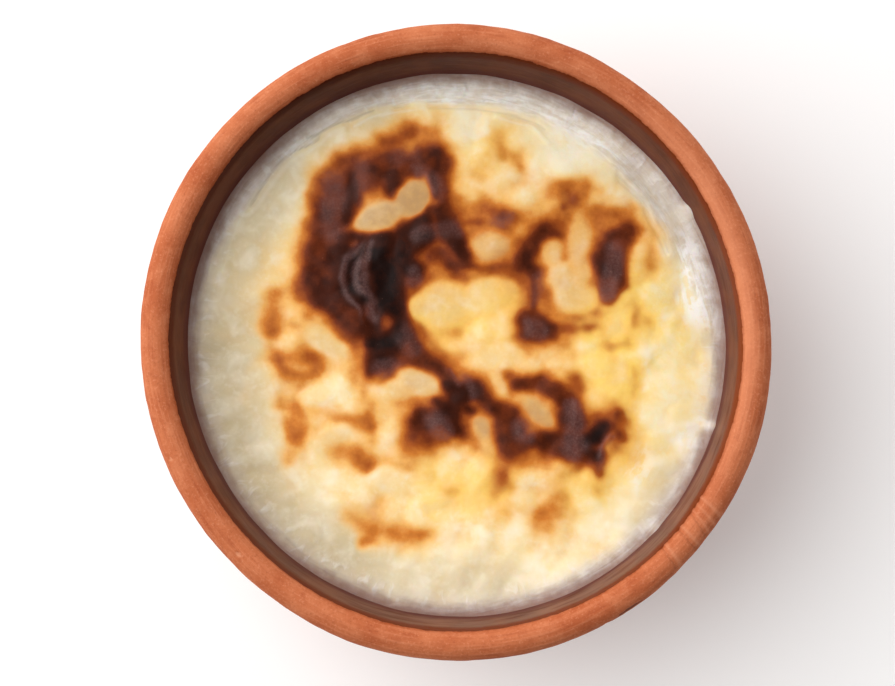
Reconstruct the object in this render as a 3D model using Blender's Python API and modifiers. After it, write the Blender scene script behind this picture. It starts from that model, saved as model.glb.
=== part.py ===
"""Baked rice pudding in its own round terracotta dish.

Two pieces, in metres with +Z up: the turned clay dish, and the set pudding
that fills it to a finger's width below the lip. The origin is the middle of
the dish's underside, and +Z is the dish's axis.
"""

import math

import bpy

# Dish
RIM_RADIUS = 0.060
DISH_HEIGHT = 0.048
LIP_RADIUS = 0.0029
WALL_THICKNESS = 0.0049
WALL_LEAN = math.radians(14)
FLOOR_THICKNESS = 0.006
CORNER_RADIUS = 0.016
FOOT_TURN = math.radians(72)  # how far below level the outer corner runs before the foot
FOOT_BEVEL = 0.0006
COVE_DROP = 0.0024  # height of the hollow that the potter's finger leaves under the lip
COVE_START = math.radians(-45)

# Pudding
FILL_HEIGHT = 0.0362
EDGE_CLIMB = 0.0011  # the skin clings to the wall a little above the middle
CLIMB_WIDTH = 0.006
SKIN_WAVE = 0.0016  # how high the skin's broad bumps and hollows are, from lowest to highest
WAVE_SIZE = 0.011
FLAT_POWER = 6  # keeps the bumps at full height until close to the wall
TOP_RINGS = 12
GAP = 0.0003

# Facets
TURN_STEPS = 80
CORNER_STEPS = 7
LIP_STEPS = 10
COVE_STEPS = 3
WELD = 0.00001

TERRACOTTA = (0.60, 0.20, 0.085, 1.0)
CLAY_ROUGHNESS = 0.85
BAKED_MILK = (0.83, 0.62, 0.33, 1.0)
SKIN_ROUGHNESS = 0.35


def clear_scene():
    for obj in list(bpy.data.objects):
        bpy.data.objects.remove(obj, do_unlink=True)


def material(name, colour, roughness):
    made = bpy.data.materials.new(name)
    made.use_nodes = True
    shader = made.node_tree.nodes["Principled BSDF"]
    shader.inputs["Base Color"].default_value = colour
    shader.inputs["Roughness"].default_value = roughness
    shader.inputs["Metallic"].default_value = 0.0
    return made


def arc(centre, radius, start, end, steps):
    """Points (r, z) along an arc, both ends included."""
    turns = [start + (end - start) * i / steps for i in range(steps + 1)]
    return [
        (centre[0] + radius * math.cos(a), centre[1] + radius * math.sin(a))
        for a in turns
    ]


def lip_centre():
    return RIM_RADIUS - LIP_RADIUS, DISH_HEIGHT - LIP_RADIUS


def wall_radius(z, inset=0.0):
    """Radius of the straight stretch of the inner wall at height z, moved inwards by inset."""
    r, lip_z = lip_centre()
    top_r = r - (LIP_RADIUS + inset) * math.cos(WALL_LEAN)
    top_z = lip_z + (LIP_RADIUS + inset) * math.sin(WALL_LEAN)
    return top_r - (top_z - z) * math.tan(WALL_LEAN)


def corner_centre():
    """Centre of the round between the inner wall and the floor."""
    z = FLOOR_THICKNESS + CORNER_RADIUS
    touch_z = z - CORNER_RADIUS * math.sin(WALL_LEAN)
    return wall_radius(touch_z) - CORNER_RADIUS * math.cos(WALL_LEAN), z


def dish_profile():
    """From the middle of the floor, up the inner wall, over the lip and down to the foot."""
    corner = corner_centre()
    lip = lip_centre()
    inside = arc(corner, CORNER_RADIUS, math.radians(-90), -WALL_LEAN, CORNER_STEPS)
    roll = arc(lip, LIP_RADIUS, math.pi - WALL_LEAN, COVE_START, LIP_STEPS)
    outer_radius = CORNER_RADIUS + WALL_THICKNESS
    outside = arc(corner, outer_radius, -WALL_LEAN, -FOOT_TURN, CORNER_STEPS)
    wall_top, foot_top = outside[0], outside[-1]
    cove_z = roll[-1][1] - COVE_DROP
    cove_r = wall_top[0] + (cove_z - wall_top[1]) * math.tan(WALL_LEAN)
    halfway = (cove_r, cove_z + COVE_DROP / 2)
    cove = blend(roll[-1], halfway, (cove_r, cove_z), COVE_STEPS)
    foot = [
        (foot_top[0], FOOT_BEVEL),
        (foot_top[0] - FOOT_BEVEL, 0.0),
        (0.0, 0.0),
    ]
    return [(0.0, FLOOR_THICKNESS)] + inside + roll + cove + outside + foot


def blend(start, pull, end, steps):
    """Points of a quadratic curve from start to end, without start itself."""
    points = []
    for i in range(1, steps + 1):
        t = i / steps
        a, b, c = (1 - t) ** 2, 2 * t * (1 - t), t * t
        points.append(tuple(a * start[k] + b * pull[k] + c * end[k] for k in (0, 1)))
    return points


def top_height(r, edge_r):
    """Height of the calm skin at radius r: level, and climbing close to the wall."""
    near = max(0.0, 1.0 - (edge_r - r) / CLIMB_WIDTH)
    return FILL_HEIGHT + EDGE_CLIMB * near * near


def pudding_profile():
    """From the middle of the skin out to the wall, down it and along the floor."""
    edge_r = wall_radius(FILL_HEIGHT + EDGE_CLIMB, GAP)
    inner = [edge_r * i / (TOP_RINGS - 1) for i in range(TOP_RINGS)]
    inner.insert(-1, edge_r - CLIMB_WIDTH / 3)
    skin = [(r, top_height(r, edge_r)) for r in inner]
    corner = corner_centre()
    side = arc(corner, CORNER_RADIUS - GAP, -WALL_LEAN, math.radians(-90), CORNER_STEPS)
    return skin + side + [(0.0, FLOOR_THICKNESS + GAP)], len(skin)


def turned(name, profile, surface):
    """An object turned about Z from a profile of (r, z) points."""
    mesh = bpy.data.meshes.new(name)
    points = [(r, 0.0, z) for r, z in profile]
    mesh.from_pydata(points, [(i, i + 1) for i in range(len(points) - 1)], [])
    obj = bpy.data.objects.new(name, mesh)
    screw = obj.modifiers.new("turn", "SCREW")
    screw.steps = screw.render_steps = TURN_STEPS
    screw.use_merge_vertices = True
    screw.merge_threshold = WELD
    screw.use_smooth_shade = True
    obj.data.materials.append(surface)
    return obj


def rumple(obj, skin_points):
    """Broad, low bumps over the top of the pudding, dying out at the wall."""
    group = obj.vertex_groups.new(name="skin")
    for i in range(skin_points):
        share = i / (skin_points - 1)
        group.add([i], 1.0 - share**FLAT_POWER, "REPLACE")
    waves = bpy.data.textures.new("skin waves", "CLOUDS")
    waves.noise_scale = WAVE_SIZE
    waves.noise_depth = 0
    push = obj.modifiers.new("rumple", "DISPLACE")
    push.texture = waves
    push.texture_coords = "LOCAL"
    push.direction = "Z"
    push.mid_level = 0.5
    push.strength = SKIN_WAVE
    push.vertex_group = group.name


def main():
    clear_scene()
    collection = bpy.data.collections.new("baked rice pudding")
    bpy.context.scene.collection.children.link(collection)

    clay = material("terracotta", TERRACOTTA, CLAY_ROUGHNESS)
    dish = turned("dish", dish_profile(), clay)
    collection.objects.link(dish)

    baked = material("baked milk", BAKED_MILK, SKIN_ROUGHNESS)
    profile, skin_points = pudding_profile()
    pudding = turned("pudding", profile, baked)
    rumple(pudding, skin_points)
    collection.objects.link(pudding)


main()
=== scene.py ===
import math

import bpy
import numpy as np
from mathutils import Matrix, Vector


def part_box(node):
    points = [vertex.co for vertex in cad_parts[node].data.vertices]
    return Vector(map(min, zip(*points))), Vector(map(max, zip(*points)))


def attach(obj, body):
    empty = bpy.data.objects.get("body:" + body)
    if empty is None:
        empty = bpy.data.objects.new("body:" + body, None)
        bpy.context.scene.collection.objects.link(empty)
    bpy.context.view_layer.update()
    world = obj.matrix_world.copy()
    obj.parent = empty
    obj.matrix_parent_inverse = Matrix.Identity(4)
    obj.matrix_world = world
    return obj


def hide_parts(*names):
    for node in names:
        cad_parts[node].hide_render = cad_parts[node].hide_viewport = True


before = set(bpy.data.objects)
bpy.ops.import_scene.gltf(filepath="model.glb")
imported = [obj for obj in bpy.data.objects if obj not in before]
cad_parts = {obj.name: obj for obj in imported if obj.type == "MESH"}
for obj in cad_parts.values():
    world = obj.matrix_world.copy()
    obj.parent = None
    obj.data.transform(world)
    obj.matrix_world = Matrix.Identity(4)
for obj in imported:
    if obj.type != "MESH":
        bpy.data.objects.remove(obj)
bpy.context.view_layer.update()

mm = 0.001  # everything below is thought out in millimetres and made in metres

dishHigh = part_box("dish")[1]
puddingLow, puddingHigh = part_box("pudding")
rimRadius = dishHigh.x / mm
dishHeight = dishHigh.z / mm
floorTop = puddingLow.z / mm
skinEdge = puddingHigh.z / mm  # where the skin meets the wall
noiseSpan = 160  # mm that one grid of noise covers
streakRadius = 52.0  # mm from the middle at which marks drawn out round a piece have their true length


def smooth(t):
    t = np.clip(t, 0.0, 1.0)
    return t * t * (3 - 2 * t)


def between(grid, u, v, ease=None):
    # a grid's value at each place, from the four points round it
    last = len(grid) - 2
    i = np.clip(np.floor(u).astype(int), 0, last)
    j = np.clip(np.floor(v).astype(int), 0, last)
    a, b = u - i, v - j
    if ease:
        a, b = ease(a), ease(b)
    low = grid[j, i] * (1 - a) + grid[j, i + 1] * a
    high = grid[j + 1, i] * (1 - a) + grid[j + 1, i + 1] * a
    return low * (1 - b) + high * b


def softNoise(x, y, size, seed):
    # even bumps of about this size, from -1 to 1
    cells = int(noiseSpan / size) + 6
    grid = np.random.default_rng(seed).uniform(-1, 1, (cells, cells))
    return between(grid, x / size + cells / 2, y / size + cells / 2, smooth)


def drift(x, y, size, depth, seed):
    # a small wander of each place, so that what is drawn there runs unevenly
    return np.stack([depth * softNoise(x, y, size, seed), depth * softNoise(x, y, size, seed + 1)])


def lineGap(x, y, line):
    # how far each place lies outside a line of x, y and half width, in mm
    gap = np.hypot(x - line[0][0], y - line[0][1]) - line[0][2]
    for (ax, ay, ar), (bx, by, br) in zip(line, line[1:]):
        dx, dy = bx - ax, by - ay
        t = np.clip(((x - ax) * dx + (y - ay) * dy) / (dx * dx + dy * dy), 0, 1)
        here = np.hypot(x - ax - t * dx, y - ay - t * dy) - ar - t * (br - ar)
        gap = np.minimum(gap, here)
    return gap


def turnedAbout(x, y, middle, degrees):
    # places as seen from a middle, along and across a direction
    c, s = math.cos(math.radians(degrees)), math.sin(math.radians(degrees))
    dx, dy = x - middle[0], y - middle[1]
    return dx * c + dy * s, dy * c - dx * s


def polar(x, y):
    return np.hypot(x, y), np.arctan2(y, x)


def upright(radius, turn, z):
    # places from their radius, turn and height
    return np.stack([radius * np.cos(turn), radius * np.sin(turn), z], 1)


def roundGap(a, b):
    # degrees from one turn to another, the short way
    return (a - b + 180) % 360 - 180


def byTurn(turn, keys, column=1):
    # the values that are given at some turns in degrees, at every turn
    keys = np.array(keys)
    return np.interp(np.degrees(turn), keys[:, 0], keys[:, column])


def arc(middle, radius, start, end, steps):
    turns = np.radians(np.linspace(start, end, steps + 1))
    return [(middle[0] + radius * math.cos(a), middle[1] + radius * math.sin(a)) for a in turns]


def partWay(start, end, shares):
    return [tuple(np.add(start, np.subtract(end, start) * t)) for t in shares]


def bend(start, pull, end, shares):
    # points on a curve that leaves start towards pull and arrives at end
    weights = [((1 - t) ** 2, 2 * t * (1 - t), t * t) for t in shares]
    return [tuple(a * start[k] + b * pull[k] + c * end[k] for k in (0, 1)) for a, b, c in weights]


def places(obj):
    found = np.empty(len(obj.data.vertices) * 3)
    obj.data.vertices.foreach_get("co", found)
    return found.reshape(-1, 3) / mm


def putPlaces(obj, points):
    obj.data.vertices.foreach_set("co", (points * mm).ravel())
    obj.data.update()


def store(obj, name, values):
    # one number, or one vector, for each vertex
    values = np.asarray(values, np.float32)
    kind, field = ("FLOAT_VECTOR", "vector") if values.ndim > 1 else ("FLOAT", "value")
    obj.data.attributes.new(name, kind, "POINT").data.foreach_set(field, values.ravel())


def inEditMode(obj):
    bpy.ops.object.select_all(action="DESELECT")
    obj.select_set(True)
    bpy.context.view_layer.objects.active = obj
    bpy.ops.object.mode_set(mode="EDIT")


def finishMesh(obj, name):
    bpy.ops.mesh.select_all(action="SELECT")
    bpy.ops.mesh.remove_doubles(threshold=0.002 * mm)
    bpy.ops.mesh.normals_make_consistent(inside=False)
    bpy.ops.object.mode_set(mode="OBJECT")
    bpy.ops.object.shade_smooth()
    obj.name = name
    obj.data.name = name


class Wire:
    # a node's output that can stand in a sum; each sum adds a Math node
    def __init__(self, finish, socket):
        self.finish = finish
        self.socket = socket

    def sum(self, kind, first, second):
        return self.finish.add("ShaderNodeMath", {"operation": kind}, {0: first, 1: second})

    def __add__(self, other):
        return self.sum("ADD", self, other)

    def __radd__(self, other):
        return self.sum("ADD", other, self)

    def __sub__(self, other):
        return self.sum("SUBTRACT", self, other)

    def __rsub__(self, other):
        return self.sum("SUBTRACT", other, self)

    def __mul__(self, other):
        return self.sum("MULTIPLY", self, other)

    def __rmul__(self, other):
        return self.sum("MULTIPLY", other, self)


class Finish:
    # the nodes of one material, or of the sky, and the shader that they feed
    def __init__(self, owner, fixed, shader="Principled BSDF"):
        owner.use_nodes = True
        self.owner = owner
        self.tree = owner.node_tree
        self.shader = self.tree.nodes[shader]
        for socket, value in fixed.items():
            self.shader.inputs[socket].default_value = value

    def add(self, kind, settings=None, inputs=None, output=0):
        node = self.tree.nodes.new(kind)
        for key, value in (settings or {}).items():
            if key == "stops":
                self.setStops(node.color_ramp, value)
            else:
                setattr(node, key, value)
        for key, value in (inputs or {}).items():
            if isinstance(value, Wire):
                self.tree.links.new(value.socket, node.inputs[key])
            else:
                node.inputs[key].default_value = value
        return Wire(self, node.outputs[output])

    def setStops(self, ramp, stops):
        ramp.elements.remove(ramp.elements[1])
        ramp.elements[0].color = (*stops[0][1], 1.0)
        for place, colour in stops[1:]:
            ramp.elements.new(place).color = (*colour, 1.0)

    def place(self):
        return self.add("ShaderNodeTexCoord", output="Object")

    def read(self, name):
        return self.add("ShaderNodeAttribute", {"attribute_name": name}, output="Fac")

    def noise(self, size, detail=2.0, rough=0.5, swirl=0.0, over=None):
        # 0 to 1, with bumps of this size in mm
        inputs = {"Vector": over or self.place(), "Scale": 1 / (size * mm), "Detail": detail}
        inputs.update({"Roughness": rough, "Distortion": swirl})
        return self.add("ShaderNodeTexNoise", None, inputs)

    def streaks(self, along, across, detail=2.0, swirl=0.0):
        # noise drawn out round the piece, with mm for one bump each way
        spun = self.add("ShaderNodeAttribute", {"attribute_name": "spun"}, output="Vector")
        scale = (streakRadius / along, streakRadius / along, 1 / across)
        drawn = self.add("ShaderNodeMapping", None, {"Vector": spun, "Scale": scale})
        return self.noise(1 / mm, detail, 0.5, swirl, drawn)

    def spots(self, size):
        return self.add("ShaderNodeTexVoronoi", None, {"Vector": self.place(), "Scale": 1 / (size * mm)})

    def step(self, value, low, high, start=0.0, end=1.0):
        inputs = {"Value": value, "From Min": low, "From Max": high, "To Min": start, "To Max": end}
        return self.add("ShaderNodeMapRange", {"interpolation_type": "SMOOTHSTEP"}, inputs)

    def blend(self, share, first, second):
        first = first if isinstance(first, Wire) else (*first, 1.0)
        second = second if isinstance(second, Wire) else (*second, 1.0)
        return self.add("ShaderNodeMix", {"data_type": "RGBA"}, {0: share, 6: first, 7: second}, output=2)

    def tint(self, colour, coats):
        # each coat is a share and the colour that it brings in
        for share, paint in coats:
            colour = self.blend(share, colour, paint)
        return colour

    def bump(self, height, depth, normal=None):
        # depth in mm for a height from 0 to 1
        inputs = {"Height": height, "Distance": depth * mm}
        if normal:
            inputs["Normal"] = normal
        return self.add("ShaderNodeBump", None, inputs)

    def feed(self, **sockets):
        for name, wire in sockets.items():
            self.tree.links.new(wire.socket, self.shader.inputs[name.replace("_", " ")])


dish = {
    "lipRadius": 2.9,
    "rollEnd": -45,  # degrees round the lip where its roll stops on the outside
    "lean": 14.0,  # degrees that the wall leans out
    "wall": 4.9,
    "cornerRadius": 16.0,
    "flatRadius": 20.0,
    "footTurn": -72.0,
    "footBevel": 0.6,
    "coveDrop": 2.4,
    "arcSteps": (8, 34, 22),  # of the inner corner, the lip and the outer corner
    # shares of the inner wall's length, close together where it shows above the pudding
    "wallSteps": [0.3, 0.5, 0.6, 0.68, 0.74, 0.79, 0.83, 0.87, 0.9, 0.93, 0.96, 0.98],
    "turns": 840,
    "oval": 0.55,  # mm that the long way is longer, each side
    "ovalTurn": -66.0,
    "lipWave": 0.16,
    "lipReach": 4.0,  # mm below the middle of the lip's roll that the lip's own marks reach
    "fineWaves": [(3.0, 0.05, 302), (1.6, 0.03, 303)],  # size and depth in mm, and seed
    "throwing": 0.07,  # depth of the potter's finger rings
    "ringGap": 3.1,
    # degrees round the rim, degrees up the lip's outside, half length, half height and depth in mm
    "chips": [(-57, 15, 3.2, 0.8, 0.30), (-62, 4, 1.4, 0.6, 0.25), (168, -10, 2.0, 0.6, 0.20)],
    "nicks": [(-135, 78, 0.7, 0.4, 0.16), (-157, 60, 0.5, 0.4, 0.15), (-21, 40, 0.5, 0.3, 0.12)],
    "paleDepth": 0.18,  # a mark less deep than this is pale clay, and a deeper one is painted dark as the shadow in its notch
    # slanting scratches over the lip: degrees at the outside, degrees at the inside
    "scratches": [(-35.2, -33.6), (-37.0, -35.0), (-38.9, -36.3), (-46.4, -45.2), (-41.5, -40.5)],
    "scratchDepth": 0.20,
    "scratchWidth": 0.5,
    "bank": (0.95, 0.55, 0.6),  # of clay pushed up beside a scratch: mm away, mm wide, share of the depth
    "scratchEnds": (10, 165),  # degrees over the lip
    # how far the glaze runs up over the lip: turn in degrees and mm
    "climb": [(-180, 0.7), (-135, 0.0), (-105, 0.8), (-75, 0.3), (-30, 1.05), (0, 0.75), (15, 0.4),
              (60, 1.2), (90, 0.75), (120, 0.75), (150, 0.15), (180, 0.7)],
    # how much painted reflection of the pale pudding lies on the glaze round the dish
    "paintedReflection": [(-180, 0.0), (-160, 0.04), (-140, 0.07), (-120, 0.10), (-100, 0.16), (-60, 0.18),
              (-20, 0.14), (0, 0.05), (20, 0.03), (60, 0.0), (180, 0.0)],
    # painted light round the dish: how bright and amber the line at the glaze's edge is, dark on the
    # shaded side and bright on the lit side, and how much painted highlight makes the clay beside it pale
    "paintedLineLight": [(-180, 0.25), (-150, 0.35), (-90, 0.60), (-45, 0.65), (0, 1.0), (60, 0.55), (120, 0.0),
              (180, 0.25)],
    "paintedHighlight": [(-180, 0.0), (-40, 0.0), (-15, 0.35), (0, 0.50), (30, 0.45), (60, 0.15), (100, 0.0),
              (180, 0.0)],
    "clayTones": ((0.43, 0.104, 0.037), (0.52, 0.150, 0.060)),
    "glazeTones": ((0.100, 0.025, 0.010), (0.150, 0.042, 0.017)),
}
lean = math.radians(dish["lean"])
lipMiddle = (rimRadius - dish["lipRadius"], dishHeight - dish["lipRadius"])


def wallRadius(z):
    # radius of the straight part of the inner wall
    topRadius = lipMiddle[0] - dish["lipRadius"] * math.cos(lean)
    topHeight = lipMiddle[1] + dish["lipRadius"] * math.sin(lean)
    return topRadius - (topHeight - z) * math.tan(lean)


def lipStart():
    # where the roll of the lip leaves the straight inner wall
    return arc(lipMiddle, dish["lipRadius"], 180 - dish["lean"], 180, 1)[0]


def cornerMiddle():
    z = floorTop + dish["cornerRadius"]
    touch = z - dish["cornerRadius"] * math.sin(lean)
    return wallRadius(touch) - dish["cornerRadius"] * math.cos(lean), z


def dishProfile():
    # from the middle of the floor up the inside, over the lip and down to the middle of the foot
    corner, flat = cornerMiddle(), dish["flatRadius"]
    inSteps, lipSteps, outSteps = dish["arcSteps"]
    inside = arc(corner, dish["cornerRadius"], -90, -dish["lean"], inSteps)
    wall = partWay(inside[-1], lipStart(), dish["wallSteps"])
    roll = arc(lipMiddle, dish["lipRadius"], 180 - dish["lean"], dish["rollEnd"], lipSteps)
    outside = arc(corner, dish["cornerRadius"] + dish["wall"], -dish["lean"], dish["footTurn"], outSteps)
    coveEnd = roll[-1][1] - dish["coveDrop"]
    coveOut = outside[0][0] + (coveEnd - outside[0][1]) * math.tan(lean)
    pull = (coveOut, coveEnd + dish["coveDrop"] / 2)
    cove = bend(roll[-1], pull, (coveOut, coveEnd), np.linspace(0.17, 1, 6))
    down = partWay(cove[-1], outside[0], np.linspace(0.1, 0.9, 9))
    foot = [(outside[-1][0], dish["footBevel"]), (outside[-1][0] - dish["footBevel"], 0.0)]
    foot += [(flat, 0.0), (0.0, 0.0)]
    return [(0.0, floorTop), (flat, floorTop)] + inside + wall + roll + cove + down + outside + foot


def spinProfile(name, profile, turns):
    # a point is pulled along the profile in edit mode, and the line is spun round the upright axis
    bpy.ops.mesh.primitive_plane_add(size=1 * mm, location=(0, 0, 0))
    obj = bpy.context.object
    inEditMode(obj)
    bpy.ops.mesh.merge(type="CENTER")
    bpy.ops.transform.translate(value=(profile[0][0] * mm, 0, profile[0][1] * mm))
    for start, end in zip(profile, profile[1:]):
        step = ((end[0] - start[0]) * mm, 0, (end[1] - start[1]) * mm)
        bpy.ops.mesh.extrude_vertices_move(TRANSFORM_OT_translate={"value": step})
    bpy.ops.mesh.select_all(action="SELECT")
    bpy.ops.mesh.spin(steps=turns, angle=math.tau, center=(0, 0, 0), axis=(0, 0, 1))
    finishMesh(obj, name)
    return obj


def alongProfile(radius, z, profile):
    # mm along the profile from where the lip meets the inner wall: above 0 inside, below 0 over the lip
    lengths = np.concatenate([[0], np.cumsum(np.hypot(*np.diff(np.array(profile), axis=0).T))])
    start = np.argmin([math.dist(point, lipStart()) for point in profile])
    nearest = np.argmin([np.hypot(radius - r, z - h) for r, h in profile], axis=0)
    return lengths[start] - lengths[nearest]


def ovalShare(turn):
    return 1 + dish["oval"] / rimRadius * np.cos(2 * (turn - math.radians(dish["ovalTurn"])))


def scratchMarks(degrees, lipTurn, onLip):
    # how far each scratch pushes the clay, and the painted shade in its groove and painted light on its
    # banks
    first, last = dish["scratchEnds"]
    bankAt, bankWidth, bankShare = dish["bank"]
    push, wearAndShade = np.zeros_like(degrees), np.zeros_like(degrees)
    for outEnd, inEnd in dish["scratches"]:
        share = np.clip(lipTurn / last, 0, 1)
        across = np.radians(roundGap(degrees, outEnd + (inEnd - outEnd) * share)) * rimRadius
        ends = (onLip > 0.5) * smooth((lipTurn - first) / 25) * smooth((last - lipTurn) / 15)
        dip = np.exp(-((across / dish["scratchWidth"]) ** 2)) * ends
        bank = bankShare * np.exp(-(((across - bankAt) / bankWidth) ** 2)) * ends
        push = push + dish["scratchDepth"] * (bank - dip)
        wearAndShade = wearAndShade + bank - 0.5 * dip
    return push, wearAndShade


def wearDish(points):
    # the hand-thrown unevenness of the clay, its chips, nicks and scratches
    x, y, z = points.T
    radius, turn = polar(x, y)
    degrees = np.degrees(turn)
    outR, outZ = radius - lipMiddle[0], z - lipMiddle[1]
    lipTurn = np.degrees(np.arctan2(outZ, outR))
    onLip = smooth((outZ + dish["lipReach"]) / 3.0)
    outer = smooth((radius - wallRadius(z) - 0.5 * dish["wall"]) / 1.0) * smooth(z / 3.0)
    push = dish["lipWave"] * (softNoise(x, y, 20.0, 301) + 0.35 * softNoise(x, y, 7.0, 306)) * onLip
    for size, depth, seed in dish["fineWaves"]:
        push = push + depth * softNoise(x + 0.8 * z, y - 0.6 * z, size, seed) * outer
    rings = np.sin(math.tau * (z + 0.5 * turn) / dish["ringGap"] + 1.5 * softNoise(x, y, 30.0, 304))
    push = push + dish["throwing"] * rings * outer * smooth((-dish["lipReach"] - outZ) / 4)
    wearAndShade = np.zeros_like(z)
    for at, up, half, tall, depth in dish["chips"] + dish["nicks"]:
        along = np.radians(roundGap(degrees, at)) * rimRadius
        over = np.radians(lipTurn - up) * dish["lipRadius"]
        ragged = 1 + 0.35 * softNoise(3 * along, 3 * over, 1.6, 305 + int(abs(at)))
        inside = smooth((1.15 - np.hypot(along / half, over / tall) * ragged) / 0.5) * (onLip > 0.5)
        push = push - depth * inside
        # a nick shows pale clay; a chip is painted dark, as the shadow in its notch
        shade = inside if depth < dish["paleDepth"] else -inside
        wearAndShade = np.where(inside > np.abs(wearAndShade), shade, wearAndShade)
    scratchPush, scratchLightAndShade = scratchMarks(degrees, lipTurn, onLip)
    push, wearAndShade = push + scratchPush, wearAndShade + scratchLightAndShade
    # the lip's marks push away from the middle of its roll, the wall's straight out
    away = np.maximum(np.hypot(outR, outZ), 1e-6)
    newRadius = (radius + push * (outR / away * onLip + 1 - onLip)) * ovalShare(turn)
    moved = upright(newRadius, turn, z + push * outZ / away * onLip)
    return np.where((radius < 15)[:, None], points, moved), wearAndShade


def clayFinish():
    fixed = {"Specular IOR Level": 0.08, "Coat Roughness": 0.12}
    f = Finish(bpy.data.materials.new("fired clay and brown glaze"), fixed)
    along, climb, wearAndShade = f.read("along"), f.read("climb"), f.read("wearAndShade")
    # unglazed clay, with the marks of turning drawn out round the rim
    mottle = f.noise(9.0, 3.0)
    blotch = f.noise(2.6, 3.0)
    grain = f.noise(0.45, 3.0, 0.65)
    turning = f.streaks(9.0, 0.55, 3.0)
    clay = f.tint(f.blend(f.step(mottle, 0.3, 0.7), *dish["clayTones"]), [
        (f.step(blotch, 0.46, 0.70) * 0.40, (0.60, 0.20, 0.090)),
        (f.step(blotch, 0.45, 0.26) * 0.35, (0.34, 0.072, 0.026)),
        (f.step(turning, 0.50, 0.72) * 0.40, (0.64, 0.225, 0.108)),
        (f.step(turning, 0.46, 0.26) * 0.35, (0.31, 0.062, 0.024)),
        (f.step(grain, 0.54, 0.70) * 0.40, (0.68, 0.27, 0.145)),
        (f.step(grain, 0.44, 0.28) * 0.40, (0.26, 0.054, 0.022)),
        # painted highlight: the inner side of the lip made paler where the light falls on it
        (f.read("paintedHighlight") * f.step(along, -5.5, -1.5), (0.78, 0.30, 0.15)),
        # pale nicks and painted light on the scratches' banks, then painted shadow in the chips and in the
        # scratches' grooves
        (f.step(wearAndShade, 0.0, 1.0) * 0.55, (0.70, 0.30, 0.165)),
        (f.step(wearAndShade, -0.2, -0.9) * 0.8, (0.11, 0.028, 0.012)),
    ])
    # brown glaze, which stops in a ragged line just inside the lip and has pooled dark there
    inside = along + climb + f.noise(2.2, 3.0) * 0.9 + f.noise(0.7, 2.0) * 0.45 - 0.68
    glazed = f.step(inside, -0.05, 0.07)
    pooled = f.step(inside, 3.2, 1.4) * glazed
    thick = f.noise(7.0, 3.0)
    # milk baked on just over the skin
    over = f.add("ShaderNodeSeparateXYZ", None, {0: f.place()}, output="Z") * (1 / mm) - skinEdge
    baked = f.step(over + (blotch - 0.5) * 1.2, 2.4, 0.6)
    # the pooled line, painted darker on the shaded side and brighter amber on the lit side
    line = f.blend(f.read("paintedLineLight"), (0.065, 0.006, 0.001), (0.21, 0.036, 0.006))
    glaze = f.tint(f.blend(f.step(thick, 0.35, 0.68), *dish["glazeTones"]), [
        (f.step(f.streaks(6.0, 0.7), 0.45, 0.75) * 0.4, (0.19, 0.060, 0.028)),
        # painted reflection of the pale pudding on the glaze, drawn out round the dish
        (f.read("paintedReflection") * f.step(f.streaks(9.0, 1.5, 3.0), 0.2, 0.6), (0.60, 0.38, 0.27)),
        (baked * 0.65, (0.105, 0.026, 0.022)),
        (pooled * 0.95, line),
    ])
    stain = f.step(inside, -0.9, 0.0) * 0.5
    colour = f.tint(clay, [(stain, (0.25, 0.044, 0.012)), (glazed, glaze)])
    rough = (0.62 + 0.14 * grain) * (1 - glazed) + (0.46 + 0.16 * thick) * glazed
    pits = f.step(f.spots(0.9), 0.0, 0.32)
    fine = grain * 0.45 + f.noise(0.2, 2.0) * 0.2 + pits * 0.35
    first = f.bump(fine * (1 - glazed) + 0.45 * glazed, 0.08)
    second = f.bump(turning * (1 - 0.7 * glazed), 0.10, first)
    normal = f.bump(thick * 0.5 + f.noise(1.8, 2.0) * 0.5, 0.12, second)
    coat = glazed * (1 - 0.8 * pooled) * 0.13
    f.feed(Base_Color=colour, Roughness=rough, Coat_Weight=coat, Normal=normal)
    return f.owner


def makeDish():
    profile = dishProfile()
    obj = spinProfile("turned_dish", profile, dish["turns"])
    points = places(obj)
    radius, turn = polar(points[:, 0], points[:, 1])
    along = alongProfile(radius, points[:, 2], profile)
    moved, wearAndShade = wearDish(points)
    putPlaces(obj, moved)
    for name in ("climb", "paintedReflection", "paintedLineLight", "paintedHighlight"):
        store(obj, name, byTurn(turn, dish[name]))
    for name, values in (("along", along), ("wearAndShade", wearAndShade), ("spun", upright(1, turn, along))):
        store(obj, name, values)
    obj.data.materials.append(clayFinish())
    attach(obj, "root")
    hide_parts("dish")
    print("dish:", len(obj.data.polygons), "faces")


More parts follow.
